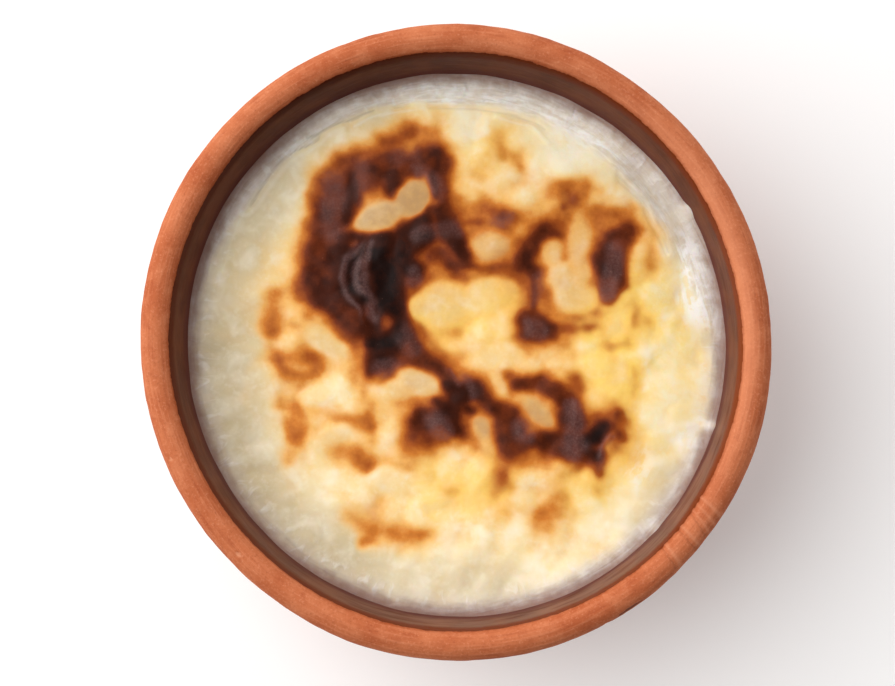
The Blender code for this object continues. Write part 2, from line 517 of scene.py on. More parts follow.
skin = {
    "seed": 11,
    "step": 0.25,  # mm between the places where the skin is worked out
    "half": 54.0,  # mm from the middle to the edge of that square
    "shift": (0.14, -0.5),  # mm that the burnt pattern and the folds are off the dish's middle
    "wander": ((4.2, 0.30), (1.5, 0.22)),  # size and depth in mm of the scorched shapes' unevenness
    "cells": 280,
    "edgeRadius": 52.1,
    "reach": 0.25,  # how far the pudding goes into the wall, so that no gap shows
    "bodyRings": (33, 28),  # heights in mm of the rings between the skin and the floor's corner
    "climb": 1.1,
    "climbWidth": 1.3,
    # where the film runs further up the wall: turn and half width in degrees, mm up
    "smears": [(29.5, 1.6, 1.9), (25, 5.0, 0.5), (38, 7.0, 0.6), (-18, 1.2, 0.8), (-43, 1.4, 0.6)],
    # how far from the wall the skin thins away: turn in degrees, mm
    "bare": [(-180, 0.2), (-165, 0.3), (-150, 0.0), (-135, 0.1), (-120, 0.2), (-105, 0.55), (-60, 0.45),
             (-45, -0.1), (-30, 0.0), (-15, 0.45), (0, 0.45), (15, 0.1), (30, 0.0), (45, -0.5),
             (60, 0.1), (90, 0.0), (105, 0.3), (120, -0.3), (135, 0.35), (150, 0.35), (165, 0.3),
             (180, 0.2)],
    # size and depth in mm of the waves in all the skin, and of those in the scorched skin
    "waves": ((11.0, 0.42), (5.5, 0.16)),
    "scorchedWaves": ((3.2, 0.12), (1.4, 0.035)),
    "scorchRise": 0.15,
    "filmSink": 0.07,
    "calmWidth": 2.2,  # mm from the wall over which the waves die down
    "glow": 0.46,  # the most heat that the warm tone round the burns may reach
    "valleyScorch": 0.20,  # how much more the valleys between grains scorch
    # the skin's colour from white milk to burnt black
    "toast": [
        (0.00, (0.90, 0.79, 0.55)),
        (0.12, (0.90, 0.72, 0.41)),
        (0.24, (0.88, 0.60, 0.25)),
        (0.36, (0.82, 0.44, 0.120)),
        (0.48, (0.62, 0.21, 0.032)),
        (0.60, (0.37, 0.085, 0.012)),
        (0.72, (0.17, 0.030, 0.007)),
        (0.84, (0.060, 0.010, 0.003)),
        (1.00, (0.010, 0.003, 0.002)),
    ],
}

# Each burn is heat, the mm over which it fades, and x, y and half width in mm along its line
burns = [
    # the big patch at the upper left: its left side, top, right side and dark middle
    (0.74, 3.4, (-23.2, 30.5, 3.4), (-24.4, 25.5, 3.5), (-25.4, 19, 4), (-25.8, 13.5, 4.8)),
    (0.7, 3, (-26.2, 31.6, 1.5), (-26.8, 27, 1.6)),
    (0.84, 2.2, (-4.6, 33, 1.2), (-4.2, 29.6, 1.3)),
    (0.72, 3.2, (-22, 30.5, 3.2), (-19, 32.6, 3.5), (-13, 35, 3.9), (-8.5, 35, 3.2), (-4.6, 36.4, 3)),
    (0.86, 2.6, (-20.3, 33, 1.6), (-20.3, 28.5, 1.9), (-21.6, 24.5, 1.4)),
    (0.8, 2.6, (-15.5, 34, 1.8), (-12, 33, 2.3), (-12.4, 31, 1.9)),
    (0.8, 2.2, (-6.8, 35.5, 1), (-3.9, 37.4, 1.3), (-3.4, 33.5, 0.8)),
    (0.72, 2.6, (-3.6, 35.5, 2.6), (-2.9, 31.5, 1.7), (-2.5, 28, 1.7), (-1.8, 24, 2.8)),
    (0.84, 2.4, (-3.2, 26, 1.5), (-1.8, 22.6, 2.3), (0.6, 19.6, 1.8), (1.8, 17, 1.2)),
    (0.72, 2, (-1.4, 16.2, 1.5), (2, 15.9, 1.3), (4.6, 15, 0.7)),
    (0.66, 2.4, (-4.2, 17.4, 2.2), (-1.4, 17.4, 1.8)),
    (0.88, 3, (-22.5, 17.5, 3.4), (-20, 14, 4.6), (-19.5, 10.5, 4.2)),
    (1.04, 2.8, (-20, 17.2, 1.9), (-19.6, 13, 2.2), (-18, 9.4, 1.7)),
    (0.92, 3, (-17.5, 18.5, 2.2), (-13.5, 16.5, 4.2), (-9.5, 19.5, 2.6), (-5.5, 21.8, 1.7)),
    (1.04, 3, (-15.8, 18, 1.8), (-14, 14.8, 3), (-13.6, 11, 2.6), (-14.6, 8, 1.4)),
    (0.9, 2, (-16, 20.4, 1.4), (-12, 20.8, 1.6), (-8.5, 22.8, 1.5), (-5.5, 24.4, 1.3)),
    (0.8, 1.8, (-9.8, 4.5, 1.2), (-8.6, 1, 1.7), (-6.8, -2, 1.2)),
    (0.92, 2.4, (-9.5, 15.5, 2.4), (-7.6, 14.8, 1.6)),
    (0.88, 2.8, (-13.5, 13, 4), (-13.6, 9.5, 4), (-13.6, 5.5, 4.2), (-13.3, 2, 4.6), (-13.6, -1, 3.6)),
    (0.78, 2.4, (-25, 10, 3.8), (-21.5, 7.5, 3.6), (-18.5, 4, 3.2)),
    (1.02, 2.6, (-16.2, 0.6, 1.5), (-13.5, 0.6, 1.8), (-10.8, 1.6, 1.3)),
    (0.78, 2, (-15.6, -2.8, 2.4), (-16.6, -5.2, 1.2)),
    (0.46, 3, (-19.6, -2.6, 0.8), (-19.8, -6.6, 0.7)),
    (0.74, 2, (-12.5, -2.2, 2.4), (-8.5, -1.6, 2.4)),
    (0.84, 2.6, (-22.4, 21, 1.6), (-17.5, 21.6, 1.4)),
    (0.8, 2.2, (-5, 26.4, 1.3), (-5.6, 23, 1.5)),
    (0.6, 2.4, (-18, -1.2, 0.9)),
    # the amber fringe round it
    (0.5, 3, (-7.6, 12.6, 0.7)),
    (0.74, 1.8, (-8.6, 12.2, 1.2), (-6.2, 13.6, 0.8)),
    (0.5, 3.4, (-29, 6, 0.8)),
    (0.44, 3.6, (-28.4, 33.4, 0.7), (-24.4, 37, 0.8)),
    (0.64, 4.2, (-25.8, 32.8, 1.4), (-22.4, 35.8, 1.6), (-16, 38.2, 1.2), (-10.8, 40, 1.4),
                (-9, 41.8, 0.8)),
    (0.44, 3.4, (-8, 42, 1.2), (-4, 40.5, 1), (-0.6, 38, 0.8)),
    (0.5, 3, (-29.3, 20, 0.8), (-30.6, 14, 0.9), (-30, 9.5, 0.8)),
    # the neck, the crossing and the blob under it
    (0.76, 2.2, (-7.5, -2.2, 2.2), (-4, -3.9, 1.6), (-1.6, -6.3, 1.8)),
    (0.86, 2.2, (-2, -7.4, 1.5), (0.8, -9.4, 2.6), (3.2, -8.4, 2.2)),
    (0.8, 1.8, (-4.6, -10.6, 1), (-2, -11.6, 1.4)),
    (0.78, 1.6, (2.2, -12.2, 1.3), (3.6, -12.6, 0.8)),
    (0.7, 1.8, (2.4, -7.2, 1.7), (4.2, -7, 1.2)),
    (0.84, 2, (-0.6, -11.4, 2), (-1.8, -14.2, 2.4), (-0.4, -16, 1.6), (0.8, -17, 0.5)),
    (0.72, 2.4, (-6.4, -14.6, 3), (-3.2, -13.6, 2.6)),
    (0.66, 2.4, (-6.6, -17.2, 2.6), (-2.8, -17.4, 2.2)),
    (0.46, 3.2, (-9.6, -13.5, 0.8), (-9.8, -20.6, 0.9), (-5, -21, 0.5)),
    (0.56, 2, (-4.2, -9.6, 0.6)),
    # the arch at the lower right
    (0.76, 2, (4.6, -9.8, 1.7), (7.8, -12.2, 1.8), (10.6, -12.8, 1.8)),
    (0.76, 2.2, (9.4, -13.6, 2.4), (10.4, -17, 3.3), (10.2, -19.8, 2.6)),
    (0.76, 2.2, (11.4, -7.3, 1.5), (16, -7.6, 1.9), (19.8, -9.2, 2.1), (22, -11.6, 2.5),
                (22.4, -15, 2.8)),
    (0.8, 1.8, (21, -11.2, 0.8), (21.4, -14.5, 1), (23.5, -14.5, 0.8)),
    (0.55, 2.6, (22.4, -6.6, 0.9), (23.6, -8.4, 0.9)),
    (0.66, 2.2, (14.4, -9.4, 0.7)),
    (0.78, 2.2, (10.6, -19.2, 2.6), (15, -18.4, 1.7), (19.5, -19.2, 2.7), (24, -19.6, 3.3),
                (26.4, -21, 2.6)),
    (1, 2.6, (24.6, -18.8, 1.6), (26.3, -17.8, 1.9), (28.2, -15.8, 1)),
    (0.95, 2.2, (25.2, -20.4, 1.5), (27.2, -21.4, 1)),
    (0.72, 2.2, (27.6, -16.8, 1.4), (30.2, -15.4, 1.1), (31.2, -13, 0.6)),
    (0.68, 1.8, (30.8, -17, 1.2), (31.8, -18, 0.6)),
    (0.72, 2.6, (26.8, -22.2, 1.8), (27.4, -24.4, 1)),
    (0.5, 3.4, (27.2, -25.8, 0.9), (26.8, -28, 0.5)),
    (0.41, 4.6, (7, -24.2, 1.8), (10.4, -23.8, 2.2), (8.2, -26.4, 1.2)),
    (0.46, 2.6, (8.6, -21, 0.8)),
    (0.36, 3, (32.2, -21.6, 1.4), (31, -10, 1)),
    # the net at the upper right
    (0.54, 2.8, (20.2, 29.4, 1.1), (21.4, 27.6, 1.5), (23.2, 28.6, 1.2)),
    (0.5, 3.2, (24.2, 29.4, 1.5), (25.6, 31, 1.4)),
    (0.48, 3, (20, 31, 0.7), (25.2, 32.2, 0.8), (27.4, 30.2, 0.8)),
    (0.76, 1.8, (20.7, 27, 0.7)),
    (0.58, 2.2, (19.9, 25.6, 0.9), (19.2, 23.6, 1)),
    (0.43, 3.6, (27, 26.8, 0.4), (30.4, 25.4, 0.9), (33.4, 24.2, 1), (35.2, 22.4, 0.7)),
    (0.76, 2.2, (33.2, 22, 1.9), (30.8, 20, 2.9), (29.6, 16.2, 3.6), (29.9, 12.6, 3), (29, 9.6, 1.9)),
    (0.84, 1.8, (29.8, 20.2, 1.2), (28.4, 16.6, 1.4), (28.6, 13.2, 1)),
    (0.47, 2.8, (29.6, 23.2, 1), (33, 22.8, 1.1)),
    (0.36, 3.2, (33.6, 11.4, 0.6)),
    (0.66, 1.8, (31.4, 11.8, 1.5), (32.8, 11.4, 0.6)),
    (0.46, 2.4, (28.6, 7.6, 0.5), (26.6, 4.8, 0.4)),
    (0.72, 2, (12.2, 16.2, 2), (14.8, 19.2, 2.1), (17.6, 22.2, 1.9), (19.4, 21.6, 1.2)),
    (0.8, 1.8, (12.8, 15.8, 1.1), (13.8, 17.6, 1)),
    (0.64, 1.8, (10.2, 15.5, 1.1), (7.4, 15.3, 0.6), (5, 15.4, 0.8)),
    (0.5, 1.8, (20, 20, 0.4), (21, 17.8, 0.2)),
    (0.6, 1.8, (14.4, 14, 1.1), (15.2, 11.4, 0.6), (15.2, 8.8, 0.8)),
    (0.56, 1.6, (16.6, 14.2, 0.5)),
    (0.76, 2, (13.4, 4.8, 2.4), (15, 3.6, 3.5), (18.2, 3, 2)),
    (0.76, 1.5, (14.8, 13, 0.7), (14.8, 9.5, 0.5), (14.6, 6.5, 0.8)),
    (0.76, 1.8, (13.4, 16.4, 1.4), (14.6, 14.3, 1.5)),
    (0.84, 1.6, (13.2, 5, 0.6), (16.6, 2.6, 0.8)),
    (0.62, 2, (19, 3, 1.5), (23, 3.2, 1.2), (26.6, 3.7, 0.7)),
    (0.58, 2.4, (17.7, 8.6, 0.8), (18, 6.8, 0.8)),
    (0.42, 4, (22, 5.6, 0.9), (27.6, 9.8, 1)),
    (0.62, 2, (5.8, 26.6, 0.7), (8, 24.8, 1.6), (11, 25.4, 1)),
    (0.66, 1.8, (6.6, 23.8, 0.5), (9.2, 23.2, 0.8)),
    (0.44, 2.4, (5, 28.2, 0.5)),
    (0.7, 1.8, (1, 24, 0.8), (4.6, 23.9, 0.9)),
    (0.6, 2.2, (3, 12.8, 0.4)),
    # golden spots: at the top, the right, the left and the bottom
    (0.46, 4.4, (9, 41, 0.8), (8.7, 38.6, 2)),
    (0.41, 3.4, (7, 37.2, 1), (5.2, 35.8, 1)),
    (0.38, 3.6, (11.6, 37, 1), (12.6, 34.6, 0.5)),
    (0.46, 2.8, (23, 13.4, 0.7)),
    (0.36, 4.4, (36.6, 20.2, 0.4), (37.6, 18.2, 0.9), (37.2, 15.4, 1.1)),
    (0.47, 3.4, (34.4, 7.4, 0.5), (34.2, 3.6, 1.1), (37.4, 4.8, 0.5)),
    (0.38, 3, (27.6, 3.2, 0.7)),
    (0.5, 3.2, (30, -0.8, 0.8), (33, 0.4, 1)),
    (0.43, 3.2, (34.6, -3.2, 0.7), (34.4, -6.6, 0.9), (34, -9.4, 0.6)),
    (0.3, 3, (0.4, 2.4, 1.2)),
    (0.55, 3, (-35, 9.6, 0.1), (-35.8, 6.4, 0.5), (-36.6, 3.6, 1.4)),
    (0.36, 3, (-36.4, 0.6, 0.5), (-35, -1.2, 0.4)),
    (0.6, 2.4, (-33.8, -2.2, 0.7), (-32.6, -4.4, 0.9), (-29.8, -5.9, 1.1), (-27.3, -5.2, 0.9),
               (-27, -3.6, 0.5)),
    (0.58, 2.8, (-31.6, -3.2, 1.4), (-28.6, -3, 1.5)),
    (0.38, 3, (-34.6, -12, 0.3), (-31.8, -12.3, 0.6)),
    (0.54, 3, (-31.2, -12.9, 1), (-30.5, -15.4, 1.4), (-30.9, -18, 1.2)),
    (0.43, 3.4, (-31.6, -20.4, 0.7), (-32.6, -22.2, 0.8)),
    (0.42, 2.6, (-22.4, -14, 0.3), (-19.4, -14, 0.6)),
    (0.52, 2.8, (-17.2, -13.7, 0.9), (-16.4, -15.6, 0.6)),
    (0.4, 2.4, (-16.4, -11.6, 0.4), (-16.4, -18, 0.4)),
    (0.52, 3.2, (-19.2, -21.4, 0.9), (-17.6, -23, 1)),
    (0.3, 2.8, (-22, -20.6, 0.4)),
    (0.46, 2.2, (-18.1, -7.4, 0.4), (-18, -10.4, 0.2)),
    (0.42, 3.2, (-20.8, -32, 0.5), (-18.4, -33.8, 1.2)),
    (0.43, 4, (-17.4, -34.8, 1.6), (-13.6, -35.8, 1.4), (-9.4, -36.4, 1), (-6, -36.4, 0.4)),
    (0.42, 3, (-18, -37.6, 0.7), (-15.4, -37.6, 0.7)),
    (0.44, 3.4, (-2.5, -28, 0.9), (0, -28, 0.5)),
    (0.455, 4, (18.4, -30.8, 1.5), (17, -33.8, 2.2)),
    (0.36, 3.4, (9.4, -31.8, 0.7)),
    (0.34, 3, (-5.5, -25, 0.6), (-11, -23, 0.6)),
    (0.33, 3, (22.4, -32.4, 0.3)),
]

# The warm tone over the middle, in the form of the burns
warmth = [
    (0.27, 16, (-6, 12, 14), (12, 12, 16), (12, -10, 16)),
    (0.22, 16, (-24, -4, 8), (-14, -18, 8), (4, -26, 8)),
    (0.14, 12, (-8, 30, 12), (24, 22, 16), (30, -2, 16), (20, -24, 14)),
    (0.34, 5, (-35, 9, 1), (-36.2, 4, 0.5)),
    (0.14, 9, (-38, 16, 2), (-40, 2, 3), (-38, -18, 3), (-34, -26, 2)),
    (0.18, 5, (-39.6, 3, 1.5), (-39, -3, 1.5)),
]

# Where the skin stayed paler than all round it, in the form of the burns
cool = [
    (0.1, 5, (-0.4, -22.4, 1.5)),
    (0.02, 6, (3, -38.5, 2)),
    (0.12, 5, (10.5, -36, 1)),
    (0.06, 5, (0, -33, 1.5)),
    (0.1, 5, (-13.5, -17, 1.5)),
    (0.05, 4, (18, -2, 1.2)),
    (0.12, 5, (-28.5, 36, 1.5)),
    (0.08, 4, (15.6, 27.4, 1)),
    (0.1, 5, (31, 4.8, 1)),
    (0.1, 5, (38.4, -5.2, 1.5), (40, -15, 1.5)),
    (0.1, 4, (13.6, -26.8, 1.5)),
    (0.12, 7, (29, -32, 2)),
    (0.14, 5, (1.6, 40.5, 1.5)),
    (0.16, 6, (20.5, 38.4, 1.5), (27, 34, 1)),
    (0.14, 4, (45, 17, 1), (46.4, 8, 1)),
    (0.16, 5, (-22, -7.5, 2)),
    (0.07, 7, (29.5, -7, 2), (29, -3, 1)),
]

# Lumps that stand clear of the scorched skin: x, y, half length, half width, turn, heat left, how tan
paleGrains = [
    (-15, 25, 4.8, 2.7, 24, 0.28, 0.9),
    (-8.4, 28.6, 4, 3.3, 58, 0.33, 1),
    (-7.3, -7.1, 4.3, 2.3, -28, 0.27, 0.55),
    (-11.4, -8.6, 3.2, 2, 0, 0.28, 0.3),
    (4.8, -15.6, 2.6, 1.7, -68, 0.4, 0.8),
    (8.2, -7.4, 3, 1.4, -62, 0.33, 0.15),
    (5.8, -19.4, 2.6, 1.4, -84, 0.43, 0.25),
    (15.8, -13.2, 4.3, 1.9, -48, 0.39, 0.8),
    (18.2, 18.2, 2.8, 2.1, 70, 0.34, 0.2),
    (23.6, 20, 4.4, 2.5, 84, 0.34, 0.3),
    (20.2, 13.4, 2.8, 2.7, 0, 0.33, 0.3),
    (24.2, 14.4, 2.7, 1.8, 80, 0.37, 0.3),
    (6.6, 19.2, 4, 3, -10, 0.4, 0.5),
    (-25.2, 0.6, 5.4, 2.1, -34, 0.22, 0.3),
    (-13.6, 4.4, 1.5, 2, 0, 0.66, 0),
    (-2.6, 8, 5.4, 4.2, 8, 0.31, 0.3),
    (-7.4, 7.4, 2.2, 2.1, -20, 0.31, 0.3),
    (5.2, 9.6, 4.2, 3.6, 0, 0.27, 0.2),
    (9.6, 10.4, 2.3, 2.4, 0, 0.36, 0.15),
    (22.8, 9.4, 4.4, 3.2, 0, 0.3, 0.3),
    (9, 33, 2.8, 2.2, 0, 0.26, 0.15),
    (7.4, -2, 5, 2.8, 0, 0.22, 0.1),
    (-27, -9.8, 3.6, 1.8, 10, 0.2, 0.1),
    (-23.4, -17.2, 3, 1.9, 10, 0.24, 0.2),
    (-13, -26, 4.6, 2.6, 0, 0.18, 0.1),
]

# A thin purple veil with painted sheen on the scorched skin, in the form of the burns
bloomAndSheen = [
    (0.36, 2.4, (-24.2, 32, 0.6), (-24, 28, 1), (-23.8, 22.5, 0.9)),
    (0.28, 2, (-18.2, 35.4, 0.4), (-18.6, 30.6, 0.6), (-18.8, 28.6, 0.3)),
    (0.34, 2.2, (-11.2, 36.6, 0.6), (-8.6, 36.8, 0.6)),
    (0.45, 2, (-6.6, 33.8, 0.7), (-4.6, 31.6, 0.5), (-3.2, 29.6, 0.3)),
    (0.5, 1.8, (-8.2, 13.8, 0.9)),
    (0.36, 1.8, (-7, 21.6, 0.6), (-0.6, 22.4, 0.4)),
    (0.4, 1.8, (-14.6, -4.4, 0.8), (-12.6, -3.4, 0.5)),
    (0.36, 2, (-9.6, 3, 0.5), (-8.8, -0.6, 0.6)),
    (0.5, 2, (-3.8, -14.6, 0.9), (-2.4, -17, 0.7)),
    (0.4, 1.6, (1.6, -6.6, 0.4), (3.4, -9, 0.4)),
    (0.5, 2, (12.4, -16.6, 1.3)),
    (0.55, 2, (22.4, -12.4, 0.8), (22.9, -15.6, 1), (22.6, -20.6, 0.9)),
    (0.45, 1.8, (14.6, 4.6, 0.6), (15.6, 2.4, 0.8)),
    (0.5, 2, (31, 18.6, 0.8), (30.8, 14.6, 0.9), (29.2, 10.6, 0.6)),
    (0.42, 1.8, (7.6, 24.4, 0.8), (10.4, 24.6, 0.5)),
    (0.36, 1.6, (15.4, 13, 0.5), (15.2, 9.4, 0.5)),
    (0.2, 1.8, (21.6, 27.6, 0.6)),
    # narrow painted highlights along the C-shaped ridges in the burns
    (0.55, 0.9, (-18.8, 19.6, 0), (-21.3, 17, 0.1), (-22, 13.5, 0.15), (-20.8, 9.8, 0.1),
                (-18.7, 6.6, 0)),
    (0.6, 1, (-16.9, 19.8, 0), (-18.6, 17, 0.15), (-19, 14, 0.2), (-18, 10.8, 0.15), (-16.6, 8.2, 0.1)),
    (0.5, 1.6, (-16.4, 7.8, 0.2), (-15.6, 5.8, 0.4)),
    (0.5, 0.9, (29.4, -17.6, 0), (27.8, -19.4, 0.1), (27.3, -21.6, 0.15), (27.8, -24, 0)),
    (0.45, 0.8, (-1.6, -4.4, 0), (-0.9, -6.4, 0.1), (0.6, -8, 0.1)),
]

# Where the skin is more yellow than brown, in the form of the burns
yellow = [
    (1, 9, (30, 4, 3), (31, -4, 4)),
    (0.9, 8, (35, 9, 3), (39, 2, 3)),
    (0.6, 7, (40, 10, 1), (41, -4, 2), (38, -16, 2)),
    (0.4, 7, (8, 39, 1), (5, 35, 1)),
    (0.75, 8, (-4, 6, 2), (8, 6, 2)),
    (0.75, 7, (-4, -28, 2), (6, -27, 2)),
    (0.65, 8, (26, -27, 2), (34, -16, 2)),
]

# Where the skin is thinner and greyer, and where painted shade from the wall darkens it, in the form of
# the burns
dullAndShade = [
    (0.9, 12, (-34, -36, 3), (-20, -44, 3)),
    (0.95, 11, (-46, -4, 3), (-44, -18, 3), (-40, -28, 3)),
    (0.7, 8, (-47, 10, 2), (-40, 24, 2), (-34, 33, 2)),
    (0.74, 8, (-45, 6, 2), (-41, 3, 2)),
    (0.45, 9, (-36, -18, 3)),
    (0.4, 6, (-27, 39.5, 1), (-15, 45, 1)),
    (0.6, 8, (-8, -47, 2), (6, -47, 2)),
    (0.8, 5.5, (37, -36, 1.5), (43, -27, 1)),
    (0.45, 3, (48.6, 1, 0.5)),
    (0.95, 6, (36, 34, 1.5), (41.2, 27.6, 1.8), (44.8, 21.6, 1)),
]

# Where the skin and the film are whitest, in the form of the burns
white = [
    (1, 3.6, (45, 18, 0.8), (46.4, 12, 1.8), (47.2, 6, 1.4)),
    (0.45, 4, (35, -23, 1.5)),
    (0.5, 4, (22, 40, 1.5)),
    (0.6, 4, (45.6, -18, 1.2)),
]

# How far from the wall the white film reaches in, and over what width it fades: turn in degrees, mm, mm
filmBand = [
    (-180, 1.2, 1), (-165, 0.8, 1), (-120, 0.8, 1.2), (-90, 1.4, 2), (-60, 2.2, 3.4), (-40, 2.6, 3.4),
    (-20, 1.8, 2.6), (-5, 1.8, 2), (5, 3.4, 2.4), (20, 6, 3), (40, 6.4, 3.4), (60, 5.6, 3.2),
    (77, 5.4, 2), (90, 6, 1.4), (105, 3.8, 1), (115, 3.4, 1.2), (135, 3.4, 1.6), (150, 3, 1.6),
    (180, 1.2, 1),
]

# Folds in the skin, which the finish paints with shade in the crease and a highlight on the ridge:
# strength (below 0 for a ridge), half width in mm, and x, y along their line
creases = [
    (0.8, 0.4, (-40.9, 26.2), (-36.4, 33), (-31.4, 38), (-27, 40.6)),
    (-0.45, 0.8, (-40.2, 25), (-35.4, 32), (-30.6, 36.8), (-26, 40), (-22, 42.4)),
    (0.8, 0.4, (-29.4, 41), (-25.6, 42), (-22, 43.6), (-16, 45.6)),
    (-0.6, 0.45, (-20, 42.8), (-12, 45.6), (-6, 46.4)),
    (0.5, 0.4, (-12, 46.6), (-4, 46.2), (4, 46.1), (12, 44.8), (17, 42)),
    (-0.5, 0.45, (8, 44.4), (14.6, 42.6), (17.6, 39.6)),
    (-0.36, 0.7, (-45.6, 14), (-43.2, 21.5), (-40.6, 27)),
    (0.35, 0.4, (-46.8, 10), (-45, 18.5), (-42.4, 25)),
    (0.3, 0.9, (42.7, 20.5), (43.9, 15.8), (43.5, 11.4), (42.3, 7.5), (40.2, 5)),
    (0.62, 0.4, (31.4, 33), (35.6, 28.4), (38.8, 23), (40.6, 18)),
    (-0.4, 0.45, (32.6, 33.4), (36.8, 28.8), (40.2, 23)),
    (0.35, 0.35, (-24, -44.6), (-34, -36.4), (-41, -27)),
    (-0.48, 0.3, (-18.6, 19.8), (-21.4, 17), (-22, 13.5), (-20.8, 9.8), (-18.7, 6.6), (-17.6, 4.4)),
    (-0.54, 0.34, (-16.8, 20), (-18.6, 17), (-19, 14), (-18, 10.8), (-16.6, 8.2), (-15.7, 6)),
    (-0.54, 0.28, (29.6, -17.4), (28, -19.2), (27.4, -21.5), (27.9, -24.2)),
    (-0.42, 0.24, (-1.6, -4.2), (-0.9, -6.2), (0.4, -7.8), (1.8, -8.8)),
    (-0.36, 0.25, (22.6, -10.5), (22.9, -13), (22.3, -16)),
]

grains = {
    "spacing": 4.3,  # mm between the middles of two grains
    "length": (2.6, 4.4),  # half the length
    "width": (1.7, 2.7),
    "height": 0.34,
    "tries": 4200,
    # whole grains that show through the film at the far edge: x, y, half length, half width, turn
    "whole": [(-7.4, 49.4, 3.6, 1.7, 4), (-0.8, 49.3, 2.4, 1.3, 8)],
}


def strokeMap(x, y, strokes):
    # the strongest of a list of soft strokes
    most = np.zeros(x.shape)
    for peak, fade, *line in strokes:
        most = np.maximum(most, peak * smooth(1 - lineGap(x, y, line) / fade))
    return most


def blur(field, width):
    n = max(1, int(round(3 * width / skin["step"])))
    weights = np.exp(-0.5 * (np.arange(-n, n + 1) * skin["step"] / width) ** 2)
    weights /= weights.sum()
    padded = np.pad(field, n, mode="edge")
    for axis in (0, 1):
        padded = np.apply_along_axis(np.convolve, axis, padded, weights, mode="valid")
    return padded


def strewGrains():
    rng = np.random.default_rng(skin["seed"] + 5)
    found = [(*grain[:5], 0.8) for grain in paleGrains]
    found += [(*grain, 1.7) for grain in grains["whole"]]
    for _ in range(grains["tries"]):
        x, y = rng.uniform(-51, 51, 2)
        a, b = rng.uniform(*grains["length"]), rng.uniform(*grains["width"])
        turn, tall = rng.uniform(0, 180), rng.uniform(0.35, 1.0)
        room = [grains["spacing"] * (0.5 + 0.25 * (a + other[2]) / 3.4) for other in found]
        gaps = [math.hypot(x - other[0], y - other[1]) for other in found]
        if math.hypot(x, y) < 49.5 and all(gap > need for gap, need in zip(gaps, room)):
            found.append((x, y, a, b, turn, tall))
    return found


def grainMap(x, y):
    # 0 in the valleys, up to 1 on a grain's back
    wx, wy = (x, y) + drift(x, y, 2.4, 0.35, skin["seed"] + 40)
    dome = np.zeros(x.shape)
    for gx, gy, a, b, turn, tall in strewGrains():
        near = (np.abs(x - gx) < a + 2) & (np.abs(y - gy) < a + 2)
        u, v = turnedAbout(wx[near], wy[near], (gx, gy), turn)
        part = tall * np.sqrt(np.clip(1 - ((u / a) ** 2 + (v / b) ** 2) / 1.35, 0, 1))
        dome[near] = np.maximum(dome[near], part)
    return blur(dome, 0.45)


def heatMap(x, y, dome):
    # 0 is white milk skin, 1 is burnt black
    seed = skin["seed"]
    wx, wy = x, y
    for n, (size, depth) in enumerate(skin["wander"]):
        wx, wy = (wx, wy) + drift(x, y, size, depth, seed + 10 * n)
    heat = np.zeros(x.shape)
    cold = np.ones(x.shape)
    for peak, fade, *line in burns:
        gap = lineGap(wx, wy, line)
        heat = np.maximum(heat, 1.06 * peak * smooth(0.5 - (gap - 0.34 * fade) / (1.9 * fade)))
        cold = cold * (1 - 0.26 * peak * np.exp(-np.clip(gap, 0, None) / 3.0))
    glow = np.minimum(0.44 * (1 - cold) + 0.85 * strokeMap(wx, wy, warmth), skin["glow"])
    heat = np.maximum(heat, glow) + 0.30 * np.minimum(heat, glow) * smooth((0.62 - heat) / 0.3)
    heat = heat - strokeMap(wx, wy, cool) * smooth((0.6 - heat) / 0.2)
    # the valleys between grains scorch more than their backs
    mid = smooth((heat + 0.02) / 0.2) * smooth((0.85 - heat) / 0.35)
    heat = heat + mid * skin["valleyScorch"] * (0.44 - dome)
    tan = np.zeros(x.shape)
    for gx, gy, a, b, turn, kept, brown in paleGrains:
        u, v = turnedAbout(wx, wy, (gx, gy), turn)
        inside = smooth((1.30 - 0.08 * brown - np.hypot(u / a, v / b)) / (0.85 - 0.35 * brown))
        heat = heat * (1 - inside) + np.minimum(heat, kept + 0.04 * (0.4 - dome)) * inside
        tan = np.maximum(tan, brown * inside)
    for n, size, most in ((70, 5.0, 0.3), (71, 1.8, 0.5)):
        heat = heat + 0.05 * softNoise(x, y, size, seed + n) * smooth(heat / most)
    return blur(np.clip(heat, 0, 1), 0.40), blur(tan, 0.5)


def filmMap(x, y):
    # 1 where only a thin white film of milk covers the pudding, by the wall
    radius, turn = polar(x, y)
    inner = byTurn(turn, filmBand) + 0.5 * softNoise(x, y, 3.0, skin["seed"] + 80)
    return smooth((inner - skin["edgeRadius"] + radius) / byTurn(turn, filmBand, 2) + 0.5)


def foldMap(x, y):
    # above 0 in a crease, below 0 on a ridge
    wx, wy = (x, y) + drift(x, y, 4.0, 0.5, skin["seed"] + 24)
    folds = np.zeros(x.shape)
    for depth, width, *line in creases:
        gap = lineGap(wx, wy, [(*point, 0) for point in line])
        folds = folds + depth * np.exp(-((gap / width) ** 2))
    # a ridge round each whole grain, which the finish paints as a highlight
    for gx, gy, a, b, turn in grains["whole"]:
        u, v = turnedAbout(wx, wy, (gx, gy), turn)
        folds = folds - 0.5 * np.exp(-(((np.hypot(u / a, v / b) - 1) / 0.16) ** 2))
    return folds


def reliefMap(x, y, dome, heat, film, fold):
    scorched = smooth((heat - 0.55) / 0.3)
    z = grains["height"] * (dome * (1 - 0.55 * film) - fold)
    z = z + skin["scorchRise"] * smooth((heat - 0.4) / 0.4)
    waves = [(1, *wave) for wave in skin["waves"]] + [(scorched, *wave) for wave in skin["scorchedWaves"]]
    for n, (where, size, depth) in enumerate(waves, 20):
        z = z + where * depth * softNoise(x, y, size, skin["seed"] + n)
    return z - skin["filmSink"] * film - z.mean()


